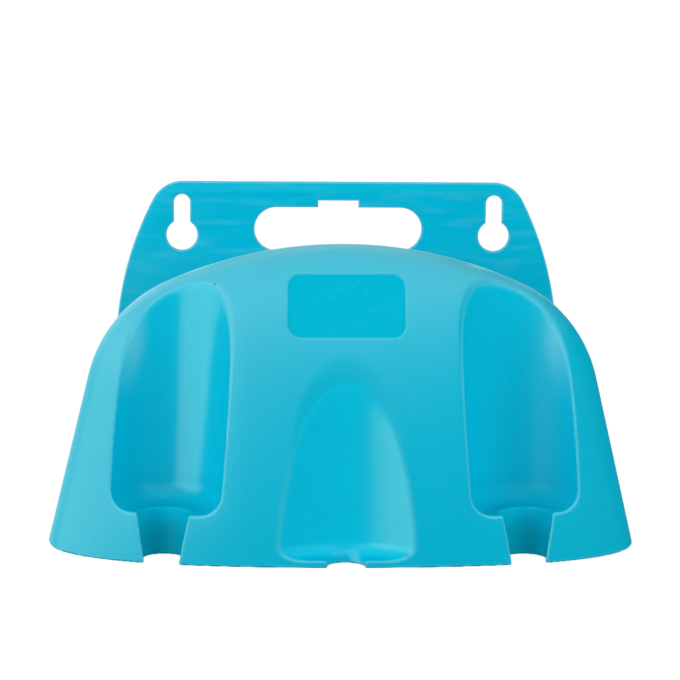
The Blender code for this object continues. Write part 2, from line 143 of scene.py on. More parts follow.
# Wall plate
PLATE_HEIGHT = 159.2
PLATE_HALF_WIDTH = 106.7
PLATE_THICKNESS = 3.0
PLATE_SIDE_RADIUS = 159.0
PLATE_SIDE_START = 77.3
PLATE_CORNER_RADIUS = 16.0
PLATE_FOOT_RADIUS = 6.0
PLATE_EDGE = 0.9
PLATE_EDGE_STEPS = 2
KEYHOLE_X = 75.0
KEYHOLE_HEAD_RADIUS = 7.4
KEYHOLE_SLOT_WIDTH = 7.7
KEYHOLE_HEAD_BELOW_TOP = 25.9
KEYHOLE_SLOT_BELOW_TOP = 6.2
HAND_HOLE_WIDTH = 80.4
HAND_HOLE_HEIGHT = 21.0
HAND_HOLE_BELOW_TOP = 12.3
HANG_NOTCH_WIDTH = 19.3
HANG_NOTCH_RISE = 3.3

# Screws; the holes for them are cut between two depths in the plate
SCREW_SHANK_RADIUS = 1.45
SCREW_HEAD_RADIUS = 3.0
SCREW_HEAD_HEIGHT = 1.6
SCREW_HEAD_SINK = 0.2
SCREW_LENGTH = 12.0
SCREW_GAP = 0.3
SCREW_HOLE_ENDS = (-2.0, 5.0)
SCREW_TURN = 0.7
SCREW_STEPS = 32
THREAD_PITCH = 1.1
THREAD_HEIGHT = 0.28
THREAD_START = 0.2
THREAD_FLANK = 4.0
THREAD_ROWS = 150
TIP_TAPER = 2.2
TIP_SHARE = 0.02
CROSS_DEPTH = 0.9
CROSS_WIDTH = 0.6
CROSS_LENGTH = 3.4
CROSS_TAPER = 0.45

# The field's mesh: its cells, the planes sampled at once, how its points settle on the
# surface, and the step over which their normals are taken
CELL = 1.0
PLANES_AT_ONCE = 8
SETTLE_ROUNDS = 3
LONGEST_MOVE = 0.4 * CELL
NORMAL_STEP = 0.3

# Distances at which a point counts as on a wall, as off it, and as nowhere near
ON_WALL = 0.5
OFF_WALL = 0.4
FAR = 99.0

# Edges of the plate and screws that turn by fewer degrees are shaded smooth
SMOOTH_ANGLE = 40.0

# Painted highlights on the edges: how strongly each edge is painted, and how far from each edge
# that shows
EDGE_REACH = 1.6
POCKET_PAINTED_HIGHLIGHT = 0.7
SOCKET_PAINTED_HIGHLIGHT = 0.8
TROUGH_TOP_PAINTED_HIGHLIGHT = 0.1
TROUGH_FOOT_PAINTED_HIGHLIGHT = 0.3
TROUGH_PAINTED_HIGHLIGHT_HEIGHTS = (30.0, 75.0)
NOTCH_PAINTED_HIGHLIGHT = 0.5
RIM_PAINTED_HIGHLIGHT = 1.35
RIM_PAINTED_HIGHLIGHT_SPREAD = 0.3
FOOT_PAINTED_HIGHLIGHT = 0.5
PLATE_PAINTED_HIGHLIGHT = 0.6
PLATE_PAINTED_HIGHLIGHT_BAND = (0.05, 0.8 * PLATE_EDGE)

# Painted sheen high on the outer wall of the pockets: strength, and where it starts and is full
OUTER_PAINTED_SHEEN = 0.6
OUTER_PAINTED_SHEEN_X = (POCKET_X + 4.0, POCKET_X + 14.0)
OUTER_PAINTED_SHEEN_HEIGHTS = (60.0, 100.0)
OUTER_PAINTED_SHEEN_DEPTHS = (-20.0, -8.0)

# Painted shade round the label, in the sockets and on the pocket floors, and where it starts and
# is full
LABEL_PAINTED_SHADE = 0.12
SOCKET_PAINTED_SHADE = 0.8
SOCKET_PAINTED_SHADE_HEIGHTS = (POCKET_FLOOR + 1.0, 10.0)
POCKET_PAINTED_SHADE = 0.6
POCKET_PAINTED_SHADE_HEIGHTS = (POCKET_FLOOR + 22.0, POCKET_FLOOR + 3.0)

# Colours, and the direction that the side with painted sheen faces; the pale colour makes the
# random grain and specks and also the painted highlights and sheen
PLASTIC = (0.0, 0.458, 0.650)
PALE_GRAIN_AND_SHEEN = (0.50, 0.92, 0.95)
STEEL = (0.62, 0.62, 0.60)
PAINTED_SHEEN_SIDE = (-0.25, -0.3, 0.8)

# Plastic: scale and detail of each noise, the range of it that shows, and how strongly
CLOUDS = (22.0, 3.0)
CLOUD_SHADES = (0.97, 1.03)
GRAIN = (420.0, 6.0)
HAZE_RANGE = (0.48, 0.72)
GLOSS_RANGE = (0.3, 0.7)
GLOSS_SPREAD = (-0.03, 0.05)
SPECKS = (500.0, 1.0)
SPECK_RANGE = (0.77, 0.83)
SPECK_STRENGTH = 0.10
# Range of the painted sheen on the side facing the light, then the painted edge highlights and
# the painted shade
PAINTED_SHEEN_RANGE = (0.36, 0.72)
PAINTED_HIGHLIGHT_FULL = 2.0
PAINTED_HIGHLIGHT_STRENGTH = 0.9
PAINTED_SHADE_STRENGTH = 0.4
PAINTED_SHADE_DARKNESS = 0.6
BUMPS = (700.0, 3.0)
BUMP_STRENGTH = 0.15
BUMP_HEIGHT = 0.0002

# Steel: scale and detail of its scratches, and its least and most roughness
SCRATCHES = (600.0, 5.0)
STEEL_ROUGHNESS = (0.25, 0.5)

# Floor: size, colour, and how it glows for the camera and for the object
FLOOR_SIZE = 12.0
FLOOR_DROP = 0.0001
FLOOR_ALBEDO = 0.12
FLOOR_GLOW = 0.95
FLOOR_FILL = 0.12

# A dark card behind the right-hand side
CARD_PLACE = (1.5, 1.3, 0.35)
CARD_SIZE = 2.4
CARD_COLOUR = (0.02, 0.02, 0.02)

# The world's level beside the object and overhead, and what glossy surfaces see of it
HORIZON_LIGHT = 1.13
ZENITH_LIGHT = 0.5
ROOM_SHEEN = 1.0

# Lamps in front: name, azimuth, elevation, distance, size and radiance
LAMP_AIM = (0.0, -0.08, 0.0)
FILL_LAMPS = (
    ("front_left_lamp", -55.0, 10.0, 1.6, 1.2, 2.65),
    ("front_right_lamp", 55.0, 10.0, 1.6, 1.2, 2.2),
)

# Bright walls that show as sheen: name, place, facing, width, height, radiance and colour
WHITE = (1.0, 1.0, 1.0)
WARM = (1.0, 0.8, 0.25)
COOL = (1.0, 0.95, 0.6)
PALE = (1.0, 0.95, 0.9)
SHEEN_WALLS = (
    ("left_wall", (-1.5, -2.8, 0.35), (1.0, 0.0, 0.0), 2.6, 2.3, 14.0, COOL),
    ("left_window", (-1.5, -0.9, 0.35), (1.0, 0.0, 0.0), 1.2, 2.3, 14.5, COOL),
    ("left_rear_wall", (-1.5, 0.2, 0.35), (1.0, 0.0, 0.0), 1.0, 2.3, 8.0, COOL),
    ("front_soffit", (0.0, -2.5, 1.6), (0.0, 1.0, 0.0), 4.5, 1.6, 3.4, WARM),
    ("ceiling", (0.0, -0.3, 2.4), (0.0, 0.0, -1.0), 4.5, 4.4, 2.4, WARM),
    ("back_window", (0.0, 2.2, 1.3), (0.0, -1.0, 0.0), 4.5, 2.0, 1.2, PALE),
)

# Camera: place in metres, angles in degrees, lens and sensor in millimetres
CAMERA_PLACE = (-0.06258, -1.43889, 0.26006)
CAMERA_ELEVATION = 10.166
CAMERA_AZIMUTH = -2.554
CAMERA_ROLL = -0.626
CAMERA_LENS = 159.74
CAMERA_SENSOR = 36.0
CAMERA_REACH = 50.0


def length2(a, b):
    """Length of a flat vector."""
    return np.sqrt(a * a + b * b)


def meet(a, b, radius):
    """Intersection of two fields, with the edge rounded."""
    inner = np.minimum(np.maximum(a, b), -radius)
    return inner + length2(np.maximum(a + radius, 0.0), np.maximum(b + radius, 0.0))


def join(a, b, radius):
    """Union of two fields, with the corner filleted."""
    return -meet(-a, -b, radius)


def ease(value, start, end):
    """Smooth step from 0 at the start to 1 at the end."""
    t = np.clip((value - start) / (end - start), 0.0, 1.0)
    return t * t * (3.0 - 2.0 * t)


class Arch:
    """An arch with leaning sides, rounded shoulders and a shallow round top."""

    def __init__(self, half_width, height, lean, top_radius, corner_radius):
        """Find the centres of the shoulders and where they meet the sides and the top."""
        self.half_width = half_width
        self.lean = lean
        self.top_radius = top_radius
        self.corner_radius = corner_radius
        size = math.hypot(1.0, lean)
        self.normal = Vector((1.0, lean)) / size
        self.along = Vector((-lean, 1.0)) / size
        self.top = Vector((0.0, height - top_radius))
        start = self.normal * (half_width / size - corner_radius)
        offset = start - self.top
        across = offset.dot(self.along)
        room = (top_radius - corner_radius) ** 2 - offset.length_squared + across ** 2
        self.corner = start + self.along * (math.sqrt(room) - across)
        outward = (self.corner - self.top).normalized()
        self.corner_start = (self.corner + self.normal * corner_radius).y
        self.corner_end = (self.corner + outward * corner_radius).y

    def width_at(self, z):
        """Half the width at a height."""
        side = self.half_width - self.lean * z
        rise = np.clip(z - self.corner.y, 0.0, self.corner_radius)
        shoulder = self.corner.x + np.sqrt(self.corner_radius ** 2 - rise ** 2)
        crown = np.sqrt(np.maximum(self.top_radius ** 2 - (z - self.top.y) ** 2, 0.0))
        upper = np.where(z <= self.corner_end, shoulder, crown)
        return np.where(z <= self.corner_start, side, upper)

    def height_at(self, x):
        """Height of the top at a place across."""
        return self.top.y + math.sqrt(self.top_radius ** 2 - x ** 2)

    def distance(self, x, z):
        """Distance from the arch, negative inside."""
        x = np.abs(x)
        from_corner_x = x - self.corner.x
        from_corner_z = z - self.corner.y
        across = from_corner_x * self.normal.x + from_corner_z * self.normal.y
        side = across - self.corner_radius
        shoulder = length2(from_corner_x, from_corner_z) - self.corner_radius
        crown = length2(x, z - self.top.y) - self.top_radius
        low = from_corner_x * self.along.x + from_corner_z * self.along.y < 0.0
        reach = self.corner - self.top
        high = reach.x * (z - self.top.y) - reach.y * x > 0.0
        return np.where(low, side, np.where(high, crown, shoulder))

    def inset(self, distance):
        """The same arch, moved inwards."""
        width = self.half_width - distance * math.hypot(1.0, self.lean)
        return Arch(width, self.top.y + self.top_radius - distance, self.lean,
                    self.top_radius - distance, self.corner_radius - distance)


RIM = Arch(RIM_HALF_WIDTH, RIM_HEIGHT, RIM_LEAN, RIM_TOP_RADIUS, RIM_CORNER_RADIUS)
SADDLE = Arch(SADDLE_HALF_WIDTH, SADDLE_HEIGHT, SADDLE_LEAN, SADDLE_TOP_RADIUS,
              SADDLE_CORNER_RADIUS)


def dome_level(x, depth, z):
    """Level function of the domed front: zero on it, negative inside."""
    out = np.maximum(depth - RIM_DEPTH, 0.0) / (FRONT_DEPTH - RIM_DEPTH)
    left = 1.0 - (np.maximum(z, 0.0) / RIM_HEIGHT) ** PROFILE_POWER
    bulge = np.sign(left) * np.abs(left) ** (SECTION_ROUNDING / PROFILE_ROUNDING)
    share = np.abs(x) / RIM.width_at(np.minimum(z, RIM_HEIGHT - CROWN_MARGIN))
    return out ** SECTION_ROUNDING + bulge * (share ** SECTION_POWER - 1.0)


def dome_field(x, depth, z):
    """Distance from the domed front, negative inside."""
    step = 0.05
    slope_x = dome_level(x + step, depth, z) - dome_level(x - step, depth, z)
    slope_d = dome_level(x, depth + step, z) - dome_level(x, depth - step, z)
    slope_z = dome_level(x, depth, z + step) - dome_level(x, depth, z - step)
    slope = np.sqrt(slope_x ** 2 + slope_d ** 2 + slope_z ** 2) / (2.0 * step)
    distance = dome_level(x, depth, z) / np.maximum(slope, 1e-6)
    return np.maximum(distance, RIM.distance(x, z))


def pocket_field(x, depth, z):
    """Distance from the pockets, negative inside them."""
    radius = length2(np.abs(x) - POCKET_X + POCKET_LEAN * z, depth - POCKET_DEPTH)
    wall = radius - POCKET_RADIUS - POCKET_DRAFT * (z - POCKET_FLOOR)
    return meet(wall, POCKET_FLOOR - z, POCKET_FILLET)


def socket_field(x, depth, z):
    """Distance from the conical sockets, negative inside them."""
    flare = (SOCKET_TOP_RADIUS - SOCKET_FOOT_RADIUS) / POCKET_FLOOR
    radius = length2(np.abs(x) - POCKET_X, depth - POCKET_DEPTH)
    return np.maximum(radius - SOCKET_FOOT_RADIUS - flare * z, z - POCKET_FLOOR - POCKET_FILLET)


def lifted_field(x, depth, z):
    """Distance from the gap below the rear edge of the sockets, negative inside it."""
    radius = length2(np.abs(x) - POCKET_X, depth - POCKET_DEPTH)
    beside = radius - SOCKET_FOOT_RADIUS - SOCKET_LIFT_REACH
    return np.maximum(np.maximum(beside, z - SOCKET_LIFT), depth - POCKET_DEPTH)


def trough_field(x, depth, z):
    """Distance from the trough, negative inside it."""
    wall = length2(x, depth - TROUGH_DEPTH) - TROUGH_RADIUS
    return meet(wall, TROUGH_FLOOR - z, TROUGH_FILLET)


def notch_field(x, depth, z):
    """Distance from the notch in the trough's floor, negative inside it."""
    wall = length2(x, depth - NOTCH_DEPTH) - NOTCH_RADIUS
    return np.maximum(wall, z - TROUGH_FLOOR - TROUGH_FILLET)


def label_field(x, z):
    """Distance from the outline of the label recess, negative inside it."""
    beside = np.abs(x) - LABEL_HALF_WIDTH + LABEL_CORNER
    above = np.abs(z - LABEL_CENTRE) - LABEL_HALF_HEIGHT + LABEL_CORNER
    outside = length2(np.maximum(beside, 0.0), np.maximum(above, 0.0))
    return outside + np.minimum(np.maximum(beside, above), 0.0) - LABEL_CORNER


def mouth_fillet(z, radius, heights):
    """Fillet of a mouth, which grows to its radius between two heights."""
    return MOUTH_FOOT_RADIUS + (radius - MOUTH_FOOT_RADIUS) * ease(z, *heights)


def carved_field(x, depth, z):
    """The domed front with its pockets, sockets, trough and notch sunk into it."""
    pocket = pocket_field(x, depth, z)
    roll = MOUTH_ROLL * np.exp(-np.maximum(pocket, 0.0) / MOUTH_ROLL_REACH)
    fillet = mouth_fillet(z, POCKET_MOUTH_RADIUS, POCKET_MOUTH_HEIGHTS)
    body = meet(dome_field(x, depth, z) + roll, -pocket, fillet)
    body = meet(body, -socket_field(x, depth, z), SOCKET_EDGE)
    fillet = mouth_fillet(z, TROUGH_MOUTH_RADIUS, TROUGH_MOUTH_HEIGHTS)
    body = meet(body, -trough_field(x, depth, z), fillet)
    fillet = mouth_fillet(z, NOTCH_MOUTH_RADIUS, NOTCH_MOUTH_HEIGHTS)
    return meet(body, -notch_field(x, depth, z), fillet)


def boss_places():
    """Centres of the screw bosses on the right-hand side, in x and z."""
    inner = SADDLE.inset(WALL + BOSS_RADIUS * BOSS_INSET_SHARE)
    places = [(float(inner.width_at(height)), height) for height in BOSS_HEIGHTS]
    places.append((BOSS_TOP_X, inner.height_at(BOSS_TOP_X)))
    return places


def web_field(x, depth, z, carved, arch):
    """Distance from the two upright webs between the saddle and the front, negative inside."""
    front = np.maximum(carved, RIM_DEPTH - depth)
    inside = np.minimum(front, np.maximum(arch, depth - RIM_DEPTH - WALL))
    web = np.maximum(np.abs(np.abs(x) - WEB_X) - WEB_HALF_THICKNESS, WEB_FOOT - z)
    return np.maximum(np.maximum(web, BACK - depth), inside + WEB_CLEARANCE)


def cradle_field(x, depth, z):
    """The whole cradle, negative inside the plastic."""
    carved = carved_field(x, depth, z)
    sunk = LABEL_RECESS * ease(-label_field(x, z), -LABEL_RAMP, LABEL_RAMP)
    sunk = sunk * ease(depth, *LABEL_BACK_FADE)
    front = meet(carved + sunk, RIM_DEPTH - depth, RIM_EDGE_RADIUS)
    arch = SADDLE.distance(x, z)
    saddle = np.maximum(np.maximum(arch, BACK - depth), depth - RIM_DEPTH - WALL / 2)
    solid = join(front, saddle, SADDLE_FILLET)
    hollow = np.maximum(carved + WALL, RIM_DEPTH + WALL - depth)
    tunnel = np.maximum(arch + WALL, depth - RIM_DEPTH - 2 * WALL)
    body = meet(solid, -join(hollow, tunnel, INNER_FILLET), INNER_EDGE)
    body = join(body, web_field(x, depth, z, carved, arch), INNER_FILLET)
    for boss_x, boss_z in boss_places():
        radius = length2(np.abs(x) - boss_x, z - boss_z)
        boss = np.maximum(np.maximum(radius - BOSS_RADIUS, depth - BOSS_END), BACK - depth)
        body = join(body, np.maximum(boss, arch), INNER_FILLET)
        body = meet(body, -np.maximum(radius - BORE_RADIUS, depth - BORE_END), BORE_EDGE)
    body = meet(body, -lifted_field(x, depth, z), SOCKET_LIFT_EDGE)
    return meet(body, -z, FOOT_EDGE)


def sample_field():
    """Sample the field on a grid over the whole cradle; the right half is mirrored."""
    xs = (np.arange(int(RIM_HALF_WIDTH / CELL) + 3) + 0.5) * CELL
    ds = np.arange(BACK - 1.5 * CELL, FRONT_DEPTH + 2 * CELL, CELL)
    zs = np.arange(-1.5 * CELL, RIM_HEIGHT + 2 * CELL, CELL)
    values = np.empty((len(xs), len(ds), len(zs)))
    for first in range(0, len(xs), PLANES_AT_ONCE):
        part = slice(first, first + PLANES_AT_ONCE)
        values[part] = cradle_field(*np.meshgrid(xs[part], ds, zs, indexing="ij"))
    whole = np.concatenate((values[::-1], values))
    origin = np.array((-xs[len(xs) - 1], ds[0], zs[0]))
    return whole, origin


def net_of(values, origin):
    """Points and quads of the zero surface of a sampled field, by surface nets."""
    shape = np.array(values.shape)
    cells = shape - 1
    total = np.zeros((cells.prod(), 3))
    count = np.zeros(cells.prod())
    quads = []
    for axis in range(3):
        low = [slice(None)] * 3
        high = [slice(None)] * 3
        low[axis] = slice(0, -1)
        high[axis] = slice(1, None)
        a = values[tuple(low)]
        b = values[tuple(high)]
        places = np.argwhere((a < 0.0) != (b < 0.0))
        one, two = (axis + 1) % 3, (axis + 2) % 3
        keep = (places[:, one] > 0) & (places[:, two] > 0)
        keep &= (places[:, one] < cells[one]) & (places[:, two] < cells[two])
        places = places[keep]
        va = a[tuple(places.T)]
        vb = b[tuple(places.T)]
        point = places.astype(float)
        point[:, axis] += va / (va - vb)
        ring = []
        for step_one, step_two in ((0, 0), (1, 0), (1, 1), (0, 1)):
            cell = places.copy()
            cell[:, one] -= step_one
            cell[:, two] -= step_two
            index = np.ravel_multi_index(tuple(cell.T), tuple(cells))
            for k in range(3):
                total[:, k] += np.bincount(index, point[:, k], len(total))
            count += np.bincount(index, minlength=len(count))
            ring.append(index)
        quad = np.stack(ring, axis=1)
        inward = va >= 0.0
        quad[inward] = quad[inward][:, ::-1]
        quads.append(quad)
    used = np.flatnonzero(count)
    number = np.full(len(count), -1)
    number[used] = np.arange(len(used))
    points = total[used] / count[used, None] * CELL + origin
    return points, number[np.concatenate(quads)]


def field_slope(points, step=0.02):
    """Value and slope of the cradle's field at points."""
    value = cradle_field(*points.T)
    slope = np.empty_like(points)
    for k in range(3):
        ahead = points.copy()
        behind = points.copy()
        ahead[:, k] += step
        behind[:, k] -= step
        slope[:, k] = (cradle_field(*ahead.T) - cradle_field(*behind.T)) / (2.0 * step)
    return value, slope


def settle(points):
    """Move points of the net onto the surface itself."""
    least_slope = 0.2
    for _ in range(SETTLE_ROUNDS):
        value, slope = field_slope(points)
        size = np.maximum((slope ** 2).sum(axis=1), least_slope)
        move = np.clip(value / size, -LONGEST_MOVE, LONGEST_MOVE)
        points = points - slope * move[:, None]
    points[:, 2] = np.maximum(points[:, 2], 0.0)
    points[:, 1] = np.clip(points[:, 1], BACK, FRONT_DEPTH)
    return points


def label_level(points):
    """Distance from the label's outline on the front; elsewhere a large number."""
    x, depth, z = points.T
    front = (depth > LABEL_BACK) & (carved_field(x, depth, z) > -LABEL_SKIN)
    return np.where(front, label_field(x, z), FAR)


def snap_to_label(points):
    """Move the points beside the label's outline onto it, and back onto the surface."""
    beside = np.abs(label_level(points)) < 0.5 * CELL
    moved = points[beside]
    step = 0.01
    least_slope = 0.3
    longest = 0.5
    for _ in range(SETTLE_ROUNDS):
        x, _, z = moved.T
        gap = label_field(x, z)
        across = (label_field(x + step, z) - gap) / step
        upward = (label_field(x, z + step) - gap) / step
        moved[:, 0] -= gap * across
        moved[:, 2] -= gap * upward
        value, slope = field_slope(moved)
        move = value / np.maximum(slope[:, 1], least_slope)
        moved[:, 1] -= np.clip(move, -longest, longest)
    points[beside] = moved
    return points


def split_at_label(points, quads):
    """Cut the quads that the label's outline crosses into triangles along it."""
    around = label_level(points)[quads]
    beside = 0.1
    crossed = (around.min(axis=1) < -beside) & (around.max(axis=1) > beside)
    cut = quads[crossed]
    near = np.abs(around[crossed])
    turned = near[:, 0] + near[:, 2] > near[:, 1] + near[:, 3]
    cut[turned] = np.roll(cut[turned], -1, axis=1)
    triangles = np.concatenate((cut[:, [0, 1, 2]], cut[:, [0, 2, 3]]))
    return quads[~crossed], triangles


def to_metres(points):
    """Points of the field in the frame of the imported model."""
    return np.stack((points[:, 0], -points[:, 1], points[:, 2] + FOOT), axis=1) * MM


def new_object(name, mesh, *materials):
    """Put a mesh into the scene with its materials."""
    for material in materials:
        mesh.materials.append(material)
    obj = bpy.data.objects.new(name, mesh)
    bpy.context.scene.collection.objects.link(obj)
    return obj


def painted_highlights(points):
    """How strongly points get a painted highlight on edges or painted sheen above the pockets.
    """
    x, depth, z = points.T
    dome = dome_field(x, depth, z)
    pocket = pocket_field(x, depth, z)
    low = 1.0 - ease(z, *TROUGH_PAINTED_HIGHLIGHT_HEIGHTS)
    pairs = (
        (dome + MOUTH_ROLL, pocket, POCKET_PAINTED_HIGHLIGHT),
        (dome, socket_field(x, depth, z), SOCKET_PAINTED_HIGHLIGHT),
        (dome, trough_field(x, depth, z), TROUGH_TOP_PAINTED_HIGHLIGHT + TROUGH_FOOT_PAINTED_HIGHLIGHT * low),
        (dome, notch_field(x, depth, z), NOTCH_PAINTED_HIGHLIGHT),
        (dome, RIM_PAINTED_HIGHLIGHT_SPREAD * (depth - RIM_DEPTH), RIM_PAINTED_HIGHLIGHT),
        (carved_field(x, depth, z), z, FOOT_PAINTED_HIGHLIGHT),
    )
    marks = np.zeros(len(points))
    for first, second, strength in pairs:
        apart = np.maximum(np.abs(first), np.abs(second))
        marks = np.maximum(marks, strength * np.clip(1.0 - apart / EDGE_REACH, 0.0, 1.0))
    # Painted sheen high on the outer walls of the pockets
    outer = ease(np.abs(x), *OUTER_PAINTED_SHEEN_X) * ease(z, *OUTER_PAINTED_SHEEN_HEIGHTS)
    outer *= (pocket < ON_WALL) * ease(dome, *OUTER_PAINTED_SHEEN_DEPTHS)
    return np.maximum(marks, OUTER_PAINTED_SHEEN * outer)


def painted_shade(points):
    """How much painted shade falls at points round the label, in the sockets and on the pocket
    floors.
    """
    x, depth, z = points.T
    painted_dark = LABEL_PAINTED_SHADE * np.clip(1.0 - np.abs(label_level(points)) / CELL, 0.0, 1.0)
    in_socket = socket_field(x, depth, z) < ON_WALL
    painted_dark += SOCKET_PAINTED_SHADE * np.where(in_socket, ease(z, *SOCKET_PAINTED_SHADE_HEIGHTS), 0.0)
    in_pocket = pocket_field(x, depth, z) < ON_WALL
    painted_dark += POCKET_PAINTED_SHADE * np.where(in_pocket, ease(z, *POCKET_PAINTED_SHADE_HEIGHTS), 0.0)
    return painted_dark


def painted_light_marks(points):
    """How much painted highlight the plastic gets at points, or, below 0, how much painted
    shade.
    """
    marks = painted_highlights(points)
    return np.where(marks > 0.0, marks, -painted_shade(points))


def store_painted_light(mesh, marks):
    """Store the painted highlights and painted shade with a mesh."""
    layer = mesh.attributes.new("edge", 'FLOAT', 'POINT')
    layer.data.foreach_set("value", np.asarray(marks, dtype=np.float32))


def material_zones(places):
    """Which of the cradle's materials each face has: 0 shell, 1 label, 2 inside, 3 worn."""
    x, depth, z = places.T
    pocket = pocket_field(x, depth, z)
    socket = socket_field(x, depth, z)
    wall = np.minimum(np.minimum(pocket, socket),
                      np.minimum(trough_field(x, depth, z), notch_field(x, depth, z)))
    zone = np.where((wall < ON_WALL) & (dome_field(x, depth, z) < -ON_WALL), 2, 0)
    zone[label_level(places) < 0.0] = 1
    zone[(zone == 2) & (pocket < ON_WALL) & (x > 0.0)] = 3
    zone[(zone > 1) & (socket < ON_WALL) & (pocket > OFF_WALL)] = 1
    return zone.astype(np.int32)


def make_cradle(shell, label, inside, worn):
    """The moulded front as one closed mesh, with its own gloss in the label and the pockets."""
    points, quads = net_of(*sample_field())
    points = snap_to_label(settle(points))
    quads, triangles = split_at_label(points, quads)
    mesh = bpy.data.meshes.new("moulded_cradle")
    faces = quads[:, ::-1].tolist() + triangles[:, ::-1].tolist()
    mesh.from_pydata(to_metres(points).tolist(), [], faces)
    mesh.validate()
    mesh.shade_smooth()
    # The edge attribute holds painted highlights above 0 and painted shade below 0
    store_painted_light(mesh, painted_light_marks(points))
    slope = field_slope(points, NORMAL_STEP)[1]
    slope /= np.linalg.norm(slope, axis=1)[:, None]
    normals = np.stack((slope[:, 0], -slope[:, 1], slope[:, 2]), axis=1)
    mesh.normals_split_custom_set_from_vertices(normals.tolist())
    middles = np.concatenate((points[quads].mean(axis=1), points[triangles].mean(axis=1)))
    mesh.polygons.foreach_set("material_index", material_zones(middles))
    return new_object("moulded_cradle", mesh, shell, label, inside, worn)


def arc(centre, radius, start, end, steps):
    """Points of an arc from one angle to another, both ends included."""
    angles = [start + (end - start) * step / steps for step in range(steps + 1)]
    return [(centre[0] + radius * math.cos(a), centre[1] + radius * math.sin(a)) for a in angles]


def mirrored(points):
    """Close a right-hand outline, listed from bottom to top, with its mirror image."""
    return points + [(-x, z) for x, z in reversed(points) if x > 1e-6]


def plate_outline():
    """Outline of the wall plate."""
    side = (PLATE_HALF_WIDTH - PLATE_SIDE_RADIUS, PLATE_SIDE_START)
    corner_z = PLATE_HEIGHT - PLATE_CORNER_RADIUS
    reach = PLATE_SIDE_RADIUS - PLATE_CORNER_RADIUS
    corner_x = side[0] + math.sqrt(reach ** 2 - (corner_z - PLATE_SIDE_START) ** 2)
    turn = math.atan2(corner_z - PLATE_SIDE_START, corner_x - side[0])
    foot = (PLATE_HALF_WIDTH - PLATE_FOOT_RADIUS, PLATE_FOOT_RADIUS)
    right = arc(foot, PLATE_FOOT_RADIUS, -math.pi / 2, 0.0, steps=10)
    right += arc(side, PLATE_SIDE_RADIUS, 0.0, turn, steps=40)
    right += arc((corner_x, corner_z), PLATE_CORNER_RADIUS, turn, math.pi / 2, steps=20)[1:]
    return mirrored(right)


def keyhole_outline(centre_x):
    """Round screw head hole with a slot above it."""
    head = PLATE_HEIGHT - KEYHOLE_HEAD_BELOW_TOP
    top = PLATE_HEIGHT - KEYHOLE_SLOT_BELOW_TOP
    half = KEYHOLE_SLOT_WIDTH / 2
    neck = math.asin(half / KEYHOLE_HEAD_RADIUS)
    points = arc((centre_x, head), KEYHOLE_HEAD_RADIUS, math.pi / 2 + neck,
                 2.5 * math.pi - neck, steps=48)
    return points + arc((centre_x, top - half), half, 0.0, math.pi, steps=24)


def hand_hole_outline():
    """Long hole with round ends and a small hanging notch in its top edge."""
    radius = HAND_HOLE_HEIGHT / 2
    top = PLATE_HEIGHT - HAND_HOLE_BELOW_TOP
    centre = (HAND_HOLE_WIDTH / 2 - radius, top - radius)
    right = arc(centre, radius, -math.pi / 2, math.pi / 2, steps=32)
    right.append((HANG_NOTCH_WIDTH / 2, top))
    right.append((HANG_NOTCH_WIDTH / 2, top + HANG_NOTCH_RISE))
    return mirrored(right)


def all_bosses():
    """Centres of all six screws, in x and z."""
    return [(side * x, z) for side in (-1, 1) for x, z in boss_places()]


def mesh_of(source):
    """Mesh of a curve object, or of a mesh object with its modifiers."""
    graph = bpy.context.evaluated_depsgraph_get()
    graph.update()
    return bpy.data.meshes.new_from_object(source.evaluated_get(graph), depsgraph=graph)


def mesh_from(shape, name):
    """Turn a bmesh into a mesh and free it."""
    mesh = bpy.data.meshes.new(name)
    shape.to_mesh(mesh)
    shape.free()
    return mesh


def ring_of(shape, radii, height):
    """A ring of vertices about local Z, one for each radius."""
    ring = []
    for step, radius in enumerate(radii):
        angle = 2.0 * math.pi * step / len(radii)
        place = (radius * math.cos(angle), radius * math.sin(angle), height)
        ring.append(shape.verts.new(Vector(place) * MM))
    return ring


def skin(shape, rings):
    """Faces between each ring and the next."""
    for low, high in zip(rings, rings[1:]):
        for a in range(len(low)):
            b = (a + 1) % len(low)
            corners = list(dict.fromkeys((low[a], low[b], high[b], high[a])))
            if len(corners) > 2:
                shape.faces.new(corners)


def turned_mesh(profile, steps):
    """Closed mesh of a profile of (radius, height) points, turned about local Z."""
    shape = bmesh.new()
    rings = []
    for radius, height in profile:
        if radius < 1e-6:
            rings.append([shape.verts.new((0.0, 0.0, height * MM))] * steps)
        else:
            rings.append(ring_of(shape, [radius] * steps, height))
    skin(shape, rings)
    bmesh.ops.recalc_face_normals(shape, faces=shape.faces)
    return mesh_from(shape, "turned")


